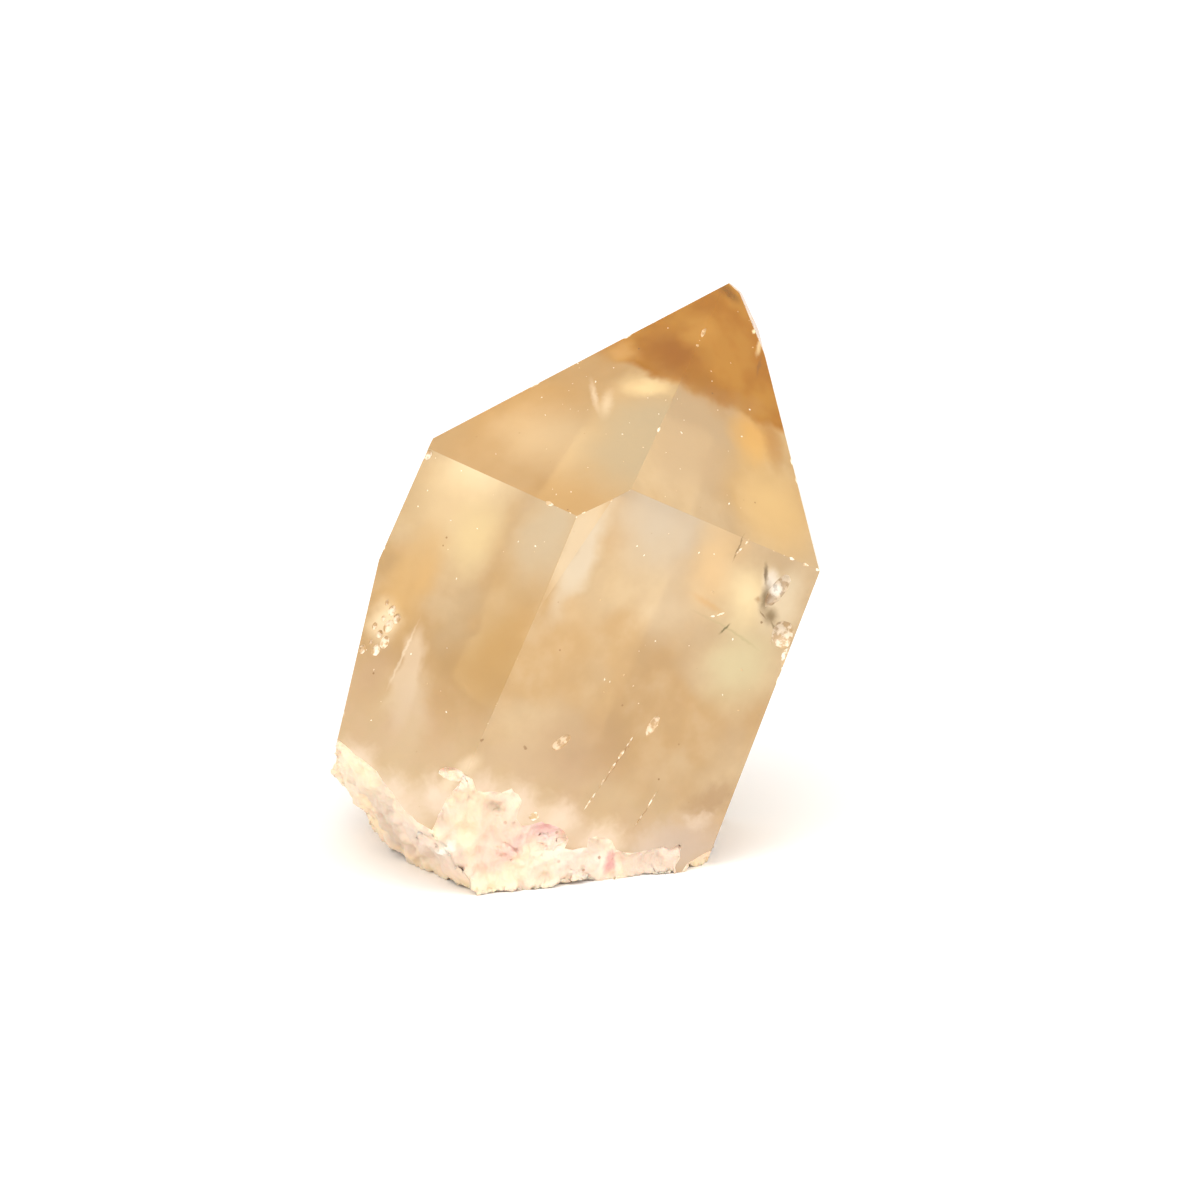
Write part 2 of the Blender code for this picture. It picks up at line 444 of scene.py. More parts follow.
    def axis(self, place: Socket, name: str) -> Socket:
        """Takes one axis of a place, in millimetres."""
        axes = self.add("SeparateXYZ")
        self.link(place, axes.inputs["Vector"])
        return axes.outputs[name]

    def share(self, place: Socket, cloud: "Cloud") -> Socket:
        """How much of a colour cloud shows at a place.

        Args:
            place: The place on the stone.
            cloud: The cloud, with the facet it keeps to, if any.

        Returns:
            The cloud's strength inside it and 0 outside.
        """
        across, out, along = cloud.middle
        if cloud.roll:
            inside = self.add("Mapping", vector_type="TEXTURE", Location=(across, -out, along),
                              Rotation=(0.0, radians(cloud.roll), 0.0), Scale=cloud.radii)
            self.link(place, inside.inputs["Vector"])
        else:
            # An upright cloud needs no turn, and it renders faster without one.
            wide, deep, high = cloud.radii
            inside = self.add("VectorMath", operation="MULTIPLY_ADD")
            self.fill(inside, 0, place, (1 / wide, 1 / deep, 1 / high),
                      (-across / wide, out / deep, -along / high))
        length = self.add("VectorMath", operation="LENGTH")
        self.link(inside.outputs["Vector"], length.inputs[0])
        outer, inner = 1.0 + cloud.edge / 2, 1.0 - cloud.edge
        share = self.between(length.outputs["Value"], outer, inner, 0.0, cloud.strength)
        if cloud.facet is Facet.OTHER:
            return share
        facet = self.add("Attribute", attribute_name="facet")
        here = self.math("COMPARE", facet.outputs["Fac"], float(cloud.facet))
        return self.math("MULTIPLY", share, here)

    def tinted(self, place: Socket, clouds: tuple["Cloud", ...], colour: Socket,
               milk: object) -> tuple[Socket, Socket]:
        """Lays clouds over a colour and a haze, one after another.

        Args:
            place: The place on the stone.
            clouds: The clouds.
            colour: The colour under them.
            milk: The haze under them, a socket or a number.

        Returns:
            The new colour and haze.
        """
        for cloud in clouds:
            share = self.share(place, cloud)
            colour = self.colours(share, colour, srgb(*cloud.colour))
            milk = self.values(share, milk, cloud.milk)
        return colour, milk

    def bump(self, height: Socket, distance: float, strength: float = 1.0) -> None:
        """Gives the shader a fine relief.

        Args:
            height: The relief's height, 0 to 1.
            distance: The height of 1, in millimetres.
            strength: How much of it shows.
        """
        node = self.add("Bump", Distance=distance * MM, Strength=strength)
        self.link(height, node.inputs["Height"])
        self.feed("Normal", node.outputs["Normal"])

    def absorb(self, colour: Colour, density: float) -> None:
        """Gives the inside a plain absorption."""
        node = self.add("VolumeAbsorption", Color=colour, Density=density)
        self.link(node.outputs["Volume"], self.output.inputs["Volume"])


@dataclass(frozen=True)
class Cloud:
    """A cloud of other colour in the stone, by its screen colour and its place and half sizes in millimetres.

    Its edge is 0 where it is sharp and 1 where it fades from its middle. It shows on one facet where
    it names one, and then ends crisply at that facet's edges. A positive roll leans it right, in degrees.
    """

    colour: tuple[int, int, int]
    middle: Place
    radii: Place
    strength: float = 1.0
    edge: float = 0.7
    milk: float = 0.0
    facet: Facet = Facet.OTHER
    roll: float = 0.0


@dataclass(frozen=True)
class QuartzBody:
    """What all of the stone's glassy finishes share."""

    ior: float = 1.544
    absorption: Colour = (0.95, 0.87, 0.62, 1.0)
    density: float = 8.0


@dataclass(frozen=True)
class HoneyQuartz:
    """The see-through stone: honey quartz with a brown tip, milky clouds and clear windows.

    Clearness and roughness run from clear to milky. The other pairs are where the back, the pale low
    part and the brown tip begin and are full, in millimetres on the stone.
    """

    body: QuartzBody = QuartzBody()
    honey: Colour = srgb(210, 180, 135)
    amber: Colour = srgb(203, 165, 110)
    beige: Colour = srgb(216, 190, 150)
    pale: Colour = srgb(196, 165, 128)
    gold: Colour = srgb(244, 208, 144)
    grey: Colour = srgb(200, 178, 146)
    deep: Colour = srgb(204, 160, 98)
    brown: Colour = srgb(221, 155, 48)
    dark_brown: Colour = srgb(204, 134, 20)
    dirt: Colour = srgb(150, 108, 62)
    clearness: tuple[float, float] = (0.66, 0.2)
    roughness: tuple[float, float] = (0.05, 0.22)
    back_from: tuple[float, float] = (-7.0, -2.0)
    low_from: tuple[float, float] = (-7.0, -16.0)
    crisp_tip: tuple[float, float] = (17.6, 18.4)
    hazy_tip: tuple[float, float] = (16.4, 19.6)
    clouds: tuple[Cloud, ...] = (
        Cloud((220, 170, 96), (-9.0, 10.0, 12.0), (16.0, 14.0, 14.0), 0.7, 0.9, 0.4, Facet.LEFT_CROWN),
        Cloud((244, 215, 165), (-11.5, 12.0, 3.2), (5.2, 5.0, 5.0), 0.9, 0.9, 0.4, Facet.LEFT_PRISM),
        Cloud((248, 221, 163), (-9.6, 13.8, 1.4), (2.0, 3.0, 3.0), 0.8, 0.9, 0.45, Facet.LEFT_PRISM),
        Cloud((255, 232, 186), (-11.2, 12.6, 7.0), (3.2, 3.0, 3.0), 0.6, 1.0, 0.8, Facet.LEFT_PRISM),
        Cloud((193, 173, 141), (-4.2, 16.6, 5.0), (3.6, 3.0, 6.4), 0.95, 0.9, 0.65, Facet.LEFT_PRISM),
        Cloud((206, 164, 98), (-4.9, 16.8, -6.0), (3.6, 4.0, 5.6), 0.9, 1.0, 0.3, Facet.LEFT_PRISM),
        Cloud((231, 187, 119), (-12.6, 12.0, -3.4), (2.0, 3.5, 4.2), 0.8, milk=0.4),
        Cloud((246, 224, 186), (-13.2, 11.5, -7.3), (1.2, 2.0, 1.9), 0.7, 0.9, 0.9),
        Cloud((248, 214, 160), (-8.0, 11.0, 10.6), (4.4, 4.0, 3.4), 0.85, 0.9, 0.4, Facet.LEFT_CROWN),
        Cloud((187, 165, 127), (0.6, 12.6, 13.0), (7.4, 7.0, 6.6), 0.95, 0.6, 0.7, Facet.LEFT_CROWN),
        Cloud((198, 168, 126), (2.0, 9.0, 14.4), (4.6, 6.0, 6.0), 0.95, 0.5, 0.65, Facet.RIGHT_CROWN),
        Cloud((249, 192, 102), (6.7, 5.8, 16.4), (2.2, 2.7, 2.9), 0.9, milk=0.42, facet=Facet.RIGHT_CROWN),
        Cloud((240, 200, 132), (10.0, 7.8, 12.2), (4.6, 3.8, 4.6), 0.95, 1.0, 0.45, Facet.RIGHT_CROWN),
        Cloud((208, 152, 78), (7.7, 4.9, 17.3), (0.7, 3.0, 3.0), 0.7, 0.9, 0.35, roll=-43.0),
        Cloud((200, 181, 154), (3.6, 15.2, 8.4), (6.0, 3.6, 4.2), 0.95, 0.8, 0.75, Facet.RIGHT_PRISM),
        Cloud((244, 206, 148), (7.8, 12.0, 7.0), (2.4, 2.6, 3.8), 0.85, 1.0, 0.5, Facet.RIGHT_PRISM),
        Cloud((226, 204, 168), (6.0, 13.2, 2.4), (2.8, 3.0, 2.6), 0.6, 1.0, 0.6, Facet.RIGHT_PRISM),
        Cloud((254, 229, 176), (11.0, 10.0, 5.6), (2.2, 2.6, 2.6), 0.9, 1.0, 0.55),
        Cloud((228, 207, 171), (13.6, 8.6, 6.2), (1.7, 2.2, 3.0), 0.9, milk=0.6),
        Cloud((216, 200, 154), (12.6, 9.4, 0.6), (3.2, 2.6, 3.4), 0.9, 0.9, 0.6),
        Cloud((224, 202, 167), (-2.4, 17.4, 4.6), (1.6, 2.0, 5.2), 0.8, milk=0.7, facet=Facet.STRIP),
        Cloud((216, 200, 174), (-1.7, 17.0, 3.6), (1.2, 2.0, 5.4), 0.8, milk=0.8, facet=Facet.RIGHT_PRISM),
        Cloud((226, 202, 172), (-9.9, 13.6, -10.3), (1.05, 3.0, 4.2), 0.6, 0.4, 0.85,
              Facet.LEFT_PRISM, -11.0),
        Cloud((218, 194, 162), (-8.6, 14.4, -13.2), (1.8, 3.0, 4.4), 0.7, 0.6, 0.8, Facet.LEFT_PRISM, -20.0),
        Cloud((206, 168, 122), (-12.4, 12.0, -11.4), (1.4, 3.0, 3.4), 0.7, 0.9, 0.4, Facet.LEFT_PRISM),
        Cloud((190, 154, 112), (3.4, 14.4, -10.6), (4.2, 3.0, 3.6), 0.75, 1.0, 0.5, Facet.RIGHT_PRISM),
        Cloud((250, 218, 158), (-2.2, 8.2, 17.2), (2.4, 3.4, 0.9), 0.8, 0.9, 0.6, Facet.LEFT_CROWN, -20.0),
    )
    root_clouds: tuple[Cloud, ...] = tuple(
        Cloud((234, 211, 186), middle, (2.0, 2.5, 1.8), 0.85, 1.0, 0.95) for middle in (
            (-10.6, 12.5, -17.8), (-7.4, 14.4, -18.6), (-5.4, 15.4, -20.0),
            (-4.4, 17.0, -17.6), (-1.4, 17.0, -16.2),
            (1.8, 15.2, -15.8), (4.8, 13.6, -15.6), (8.4, 11.6, -16.0), (12.6, 9.4, -15.4))) + (
        Cloud((180, 142, 98), (15.2, 8.0, -9.4), (1.3, 3.0, 2.4), 0.6, 0.9, 0.4, roll=55.0),
        Cloud((202, 178, 156), (13.9, 8.4, -13.9), (2.5, 4.0, 4.4), 0.85, 0.7, 0.8, roll=55.0),
        Cloud((224, 202, 178), (14.6, 8.2, -11.4), (0.6, 3.0, 0.9), 0.5, 0.9, 0.85, roll=50.0),
    )
    tip_clouds: tuple[Cloud, ...] = (
        Cloud((184, 112, 0), (-1.5, 6.0, 20.2), (3.2, 3.6, 1.8), 0.9, 0.9, 0.3, roll=14.0),
        Cloud((190, 122, 6), (2.4, 6.0, 18.6), (3.0, 3.4, 1.3), 0.85, 0.9, 0.3, roll=8.0),
        Cloud((236, 182, 104), (-5.2, 5.6, 19.0), (1.5, 3.0, 1.1), 0.7, 0.8, 0.5),
        Cloud((230, 168, 70), (-0.2, 4.6, 22.4), (1.6, 3.0, 1.3), 0.6, 0.9, 0.4),
    )
    marks: tuple[Cloud, ...] = (
        Cloud((226, 214, 198), (12.4, 9.4, 7.2), (0.7, 1.5, 1.3), 0.85, 0.8, 0.9, roll=-30.0),
        Cloud((118, 94, 58), (11.7, 9.9, 7.7), (0.17, 1.5, 0.9), 0.9, 0.8, 0.6, roll=-23.8),
        Cloud((122, 98, 56), (12.4, 9.5, 6.0), (0.42, 1.5, 1.2), 0.9, 0.9, 0.6, roll=-12.0),
        Cloud((132, 106, 62), (13.3, 8.9, 4.9), (0.6, 1.5, 0.7), 0.9, 0.9, 0.6, roll=-24.0),
        Cloud((132, 108, 68), (13.9, 8.7, 4.2), (0.1, 1.5, 0.6), 0.8, 0.7, 0.6, roll=-50.0),
        Cloud((110, 86, 54), (13.2, 8.9, 6.2), (0.12, 1.5, 0.12), 0.85, 0.6, 0.6),
        Cloud((176, 138, 88), (11.9, 9.8, 5.7), (0.24, 1.5, 0.24), 0.75, 0.7, 0.6),
        Cloud((130, 96, 56), (12.9, 9.2, 4.2), (0.1, 1.5, 0.12), 0.8, 0.6, 0.6),
        Cloud((130, 96, 56), (12.7, 9.3, 4.8), (0.4, 1.5, 0.06), 0.7, 0.7, 0.6, roll=30.0),
        Cloud((255, 252, 244), (12.9, 8.9, 6.7), (0.3, 1.5, 0.34), 0.95, 0.5, 1.0),
        Cloud((206, 182, 134), (9.4, 11.0, 2.9), (0.1, 1.5, 2.8), 0.6, 0.9, 0.5, roll=94.0),
        Cloud((198, 184, 132), (11.6, 9.9, 2.6), (0.12, 1.5, 2.4), 0.6, 0.9, 0.5, roll=101.0),
        Cloud((226, 178, 112), (8.6, 11.4, 3.9), (0.3, 1.5, 1.6), 0.6, 0.9, 0.5, roll=100.0),
        Cloud((244, 222, 190), (-5.6, 8.4, 14.8), (0.26, 3.0, 1.3), 0.55, 1.0, 0.8, roll=-36.0),
        Cloud((238, 214, 178), (-4.5, 9.0, 14.6), (0.5, 3.0, 1.1), 0.5, 1.0, 0.8, roll=-10.0),
        Cloud((248, 230, 204), (-10.9, 13.0, -8.8), (0.1, 1.5, 2.6), 0.4, 0.9, 0.9, roll=1.0),
        Cloud((112, 100, 58), (10.5, 10.5, 2.7), (0.1, 1.5, 0.6), 0.9, 0.6, 0.6, roll=24.0),
        Cloud((140, 112, 70), (8.95, 11.3, 8.7), (0.07, 1.5, 1.1), 0.8, 0.5, 0.6),
        Cloud((158, 104, 18), (0.7, 1.0, 26.0), (1.1, 2.0, 0.4), 0.85, 0.9, 0.3, roll=20.0),
        Cloud((255, 236, 190), (3.6, 1.2, 24.1), (0.16, 1.0, 0.2), 0.9, 0.6, 0.9),
        Cloud((250, 222, 168), (4.4, 1.6, 23.2), (0.2, 1.2, 0.9), 0.7, 0.8, 0.8, roll=-10.0),
        Cloud((166, 112, 46), (5.0, 2.4, 21.8), (0.14, 1.2, 1.1), 0.7, 0.8, 0.4, roll=-10.0),
        Cloud((150, 112, 70), (0.3, 16.0, -11.4), (0.16, 1.5, 0.14), 0.8, 0.5, 0.6),
        Cloud((150, 112, 70), (-2.9, 17.8, -12.1), (0.1, 1.5, 0.14), 0.8, 0.5, 0.6),
        Cloud((160, 118, 72), (2.0, 10.0, 18.0), (0.22, 1.5, 0.09), 0.8, 0.5, 0.6, roll=20.0),
        Cloud((176, 134, 86), (7.1, 12.3, -9.7), (0.05, 1.5, 2.6), 0.7, 0.6, 0.5, roll=10.0),
        Cloud((176, 134, 86), (10.6, 10.5, -12.1), (0.05, 1.5, 1.7), 0.6, 0.6, 0.5, roll=8.5),
        Cloud((236, 212, 178), (-3.1, 17.8, -14.3), (0.7, 1.5, 1.2), 0.6, 0.9, 0.9, roll=30.0),
        Cloud((236, 212, 178), (-3.9, 17.3, -16.1), (0.5, 1.5, 0.8), 0.7, 0.8, 0.9, roll=20.0),
    )

    def far_side(self, nodes: NodeTree, place: Socket, colour: Socket, milk: Socket) -> tuple[Socket, Socket]:
        """Varies the facets that the clouds leave plain, each facet in its own way.

        Args:
            nodes: The material's nodes.
            place: The place on the stone.
            colour: The colour so far.
            milk: The haze so far.

        Returns:
            The new colour and haze.
        """
        facet = nodes.add("Attribute", attribute_name="facet")
        noise = nodes.add("TexNoise", noise_dimensions="4D", Scale=0.1, Detail=2.0)
        nodes.link(place, noise.inputs["Vector"])
        nodes.link(nodes.math("MULTIPLY", facet.outputs["Fac"], 1.7), noise.inputs["W"])
        shares = nodes.add("SeparateColor")
        nodes.link(noise.outputs["Color"], shares.inputs["Color"])
        behind = nodes.between(nodes.axis(place, "Y"), *self.back_from)
        tints = (("Red", self.gold, 0.45), ("Green", self.grey, 0.75), ("Blue", self.deep, 0.35))
        for channel, tint, haze in tints:
            patch = nodes.between(shares.outputs[channel], 0.48, 0.62, 0.0, 0.85)
            share = nodes.math("MULTIPLY", patch, behind)
            colour = nodes.colours(share, colour, tint)
            milk = nodes.values(share, milk, haze)
        return colour, milk

    def material(self) -> bpy.types.Material:
        """Builds the material.

        Returns:
            The material with one shader and a plain absorption.
        """
        nodes = NodeTree("honey_quartz")
        still = nodes.place()
        place = nodes.swayed(still, 0.35, 1.1)
        along = nodes.axis(place, "Z")
        patch = nodes.noise(still, 0.11, 2.0)
        streak = nodes.noise(still, 0.36, 3.0, 0.5)
        colour = nodes.colours(nodes.between(patch, 0.38, 0.58), self.amber, self.honey)
        colour = nodes.colours(nodes.between(streak, 0.45, 0.75, 0.0, 0.3), colour, self.beige)
        milk = nodes.between(streak, 0.3, 0.7, 0.44, 0.56)
        colour, milk = self.far_side(nodes, still, colour, milk)
        colour, milk = nodes.tinted(place, self.clouds, colour, milk)
        low = nodes.between(along, *self.low_from)
        curds = nodes.between(nodes.noise(still, 0.3, 3.0), 0.35, 0.65)
        curdled = nodes.colours(curds, self.honey, self.pale)
        colour = nodes.colours(nodes.math("MULTIPLY", low, 0.75), colour, curdled)
        curd_milk = nodes.between(curds, 0.0, 1.0, 0.66, 0.84)
        milk = nodes.values(nodes.math("MULTIPLY", low, 0.85), milk, curd_milk)
        colour, milk = nodes.tinted(nodes.swayed(place, 1.3, 0.6), self.root_clouds, colour, milk)
        haze = nodes.between(nodes.noise(still, 0.16, 1.0), 0.4, 0.65)
        tip = nodes.values(haze, nodes.between(along, *self.crisp_tip), nodes.between(along, *self.hazy_tip))
        blotch = nodes.between(nodes.noise(still, 0.34, 2.0), 0.35, 0.62)
        brown = nodes.colours(blotch, self.dark_brown, self.brown)
        brown, clear = nodes.tinted(place, self.tip_clouds, brown, 0.3)
        colour = nodes.colours(tip, colour, brown)
        milk = nodes.values(tip, milk, clear)
        colour, milk = nodes.tinted(nodes.swayed(still, 2.4, 0.16), self.marks, colour, milk)
        dots = nodes.specks(still, 0.62, 0.07, 0.5, 0.58)
        colour = nodes.colours(nodes.math("MULTIPLY", dots, 0.75), colour, self.dirt)
        nodes.feed("Base Color", colour)
        nodes.feed("Transmission Weight", nodes.between(milk, 0.0, 1.0, *self.clearness))
        nodes.feed("Roughness", nodes.between(milk, 0.0, 1.0, *self.roughness))
        nodes.bump(nodes.noise(still, 0.9, 3.0, 0.5), 0.008)
        nodes.plain(IOR=self.body.ior)
        nodes.absorb(self.body.absorption, self.body.density)
        return nodes.material


@dataclass(frozen=True)
class FrostedQuartz:
    """Fresh chips, pits and scratches: the same quartz, broken and white."""

    body: QuartzBody = QuartzBody()
    white: Colour = srgb(255, 244, 224)
    honey: Colour = srgb(240, 206, 156)
    clouds: tuple[Cloud, ...] = (
        Cloud((214, 160, 84), (1.6, 3.0, 23.4), (6.0, 6.0, 5.0), 0.7, 0.4),
        Cloud((206, 184, 154), (13.0, 9.0, 5.4), (2.4, 3.0, 4.2), 0.85, 0.6),
        Cloud((150, 114, 66), (12.3, 9.5, 5.9), (0.5, 3.0, 1.0), 0.85, 0.9, roll=20.0),
        Cloud((158, 122, 74), (13.7, 8.8, 5.2), (0.8, 3.0, 0.5), 0.8, 0.9, roll=-24.0),
        Cloud((255, 250, 240), (12.9, 9.1, 6.9), (0.5, 3.0, 0.5), 0.9, 0.8),
        Cloud((212, 174, 124), (2.8, 14.8, -10.5), (1.6, 3.0, 1.6), 0.65, 0.4),
        Cloud((212, 174, 124), (8.6, 11.5, -6.5), (1.6, 3.0, 1.6), 0.55, 0.4),
        Cloud((224, 188, 138), (-13.2, 11.5, -6.3), (2.6, 4.0, 2.8), 0.3, 0.5),
    )

    def material(self) -> bpy.types.Material:
        """Builds the material.

        Returns:
            The material.
        """
        nodes = NodeTree("frosted_quartz")
        place = nodes.place()
        grain = nodes.noise(place, 2.2, 3.0)
        share = nodes.between(grain, 0.4, 0.6)
        colour = nodes.colours(share, self.honey, self.white)
        colour, _ = nodes.tinted(place, self.clouds, colour, 0.0)
        nodes.feed("Base Color", colour)
        nodes.feed("Transmission Weight", nodes.between(share, 0.0, 1.0, 0.4, 0.05))
        nodes.plain(Roughness=0.24, IOR=self.body.ior)
        nodes.bump(grain, 0.05)
        nodes.absorb(self.body.absorption, self.body.density)
        return nodes.material


@dataclass(frozen=True)
class RootRock:
    """The broken root: cream and grey quartz grown into pale mother rock, with pink spots."""

    body: QuartzBody = QuartzBody()
    cream: Colour = srgb(242, 218, 192)
    yellow: Colour = srgb(246, 220, 184)
    grey: Colour = srgb(228, 206, 184)
    speck: Colour = srgb(160, 100, 66)
    clouds: tuple[Cloud, ...] = (
        Cloud((228, 208, 192), (-3.7, 12.2, -21.1), (3.4, 4.0, 2.4), 0.9, milk=0.8),
        Cloud((236, 214, 196), (7.0, 12.0, -18.0), (3.8, 3.0, 2.2), 0.9, milk=0.95),
        Cloud((222, 200, 182), (12.8, 9.4, -14.6), (3.8, 3.0, 3.4), 0.9, milk=0.8),
        Cloud((236, 196, 178), (1.2, 14.8, -19.2), (1.8, 2.4, 2.8), 0.85, milk=0.9),
        Cloud((234, 194, 192), (4.0, 14.0, -16.1), (2.0, 2.4, 1.6), 0.85, 0.8, milk=0.95),
        Cloud((208, 138, 138), (3.9, 14.0, -16.2), (0.55, 2.0, 0.8), 0.8, 1.0, milk=0.95, roll=40.0),
        Cloud((214, 148, 146), (4.9, 13.6, -15.6), (0.9, 2.0, 0.3), 0.7, 1.0, milk=0.95, roll=-20.0),
        Cloud((220, 176, 172), (2.6, 14.2, -18.4), (0.6, 2.0, 2.4), 0.75, 1.0, milk=0.95, roll=14.0),
        Cloud((206, 138, 136), (9.6, 10.6, -17.0), (0.5, 2.4, 0.9), 0.85, 1.0, milk=0.95, roll=-20.0),
        Cloud((255, 250, 240), (-2.2, 14.6, -21.0), (0.5, 2.4, 1.7), 0.9, 0.8, milk=1.0, roll=10.0),
        Cloud((250, 230, 196), (-10.8, 12.4, -17.8), (3.0, 4.0, 3.6), 0.9, 0.9, milk=0.95),
        Cloud((222, 194, 168), (0.2, 15.4, -17.2), (4.4, 3.4, 2.2), 0.6, 0.9, milk=0.9),
    )

    def material(self) -> bpy.types.Material:
        """Builds the material.

        Returns:
            The material.
        """
        nodes = NodeTree("root_rock")
        still = nodes.place()
        place = nodes.swayed(nodes.swayed(still, 0.6, 0.7), 2.2, 0.35)
        patch = nodes.noise(still, 0.3, 3.0)
        grain = nodes.noise(still, 2.4, 5.0, 0.7)
        colour = nodes.colours(nodes.between(patch, 0.42, 0.62), self.cream, self.yellow)
        clear = nodes.noise(still, 0.22, 2.0)
        colour = nodes.colours(nodes.between(clear, 0.5, 0.64, 0.0, 0.9), colour, self.grey)
        milk = nodes.between(clear, 0.5, 0.64, 1.0, 0.6)
        colour, milk = nodes.tinted(place, self.clouds, colour, milk)
        dots = nodes.specks(still, 0.9, 0.16, 0.52, 0.6)
        colour = nodes.colours(nodes.math("MULTIPLY", dots, 0.7), colour, self.speck)
        nodes.feed("Base Color", colour)
        nodes.feed("Transmission Weight", nodes.between(milk, 0.0, 1.0, 0.45, 0.0))
        nodes.feed("Roughness", nodes.between(grain, 0.3, 0.7, 0.55, 0.3))
        nodes.bump(grain, 0.12)
        nodes.plain(IOR=self.body.ior, Subsurface_Weight=0.25, Subsurface_Scale=1.0 * MM)
        nodes.absorb(self.body.absorption, self.body.density)
        return nodes.material


class Finish(IntEnum):
    """The stone's finishes by the place of their material."""

    HONEY = 0
    FROSTED = 1
    ROOT = 2


@dataclass(frozen=True)
class Scratch:
    """A line of small flakes along a path of places on the stone, with a width and a depth in millimetres."""

    path: tuple[Place, ...]
    width: float = 0.14
    depth: float = 0.09


@dataclass
class FlakeBed:
    """Where the flakes lie that are cut out of the stone, none of them touching another."""

    spots: list[tuple[Vector, float]] = field(default_factory=list)
    shapes: list[Matrix] = field(default_factory=list)

    def lay(self, middle: Vector, normal: Vector, radii: Place, roll: float, room: float = 1.25) -> None:
        """Lays one flake unless it would touch another.

        Args:
            middle: Its middle, in metres.
            normal: The way its face looks.
            radii: Its half sizes on the face and into it, in millimetres.
            roll: Its turn on the face, in radians.
            room: The free space it needs, as a share of its longest half size.
        """
        reach = max(radii) * MM * room
        if any((middle - spot).length < reach + near for spot, near in self.spots):
            return
        self.spots.append((middle, reach))
        self.shapes.append(Matrix.Translation(middle) @ facing(normal) @ Matrix.Rotation(roll, 4, "Z")
                           @ Matrix.Diagonal((radii[0] * MM, radii[1] * MM, radii[2] * MM, 1.0)))

    def cutter(self, flake: bpy.types.Object) -> bpy.types.Object:
        """Copies one flake to every place and joins the copies.

        Args:
            flake: The flake, one metre in radius, which goes.

        Returns:
            The joined copies.
        """
        copies = []
        for shape in self.shapes:
            copy = bpy.data.objects.new("flakes", flake.data.copy())
            copy.data.transform(shape)
            bpy.context.collection.objects.link(copy)
            copies.append(copy)
        bpy.data.objects.remove(flake)
        return joined(copies)


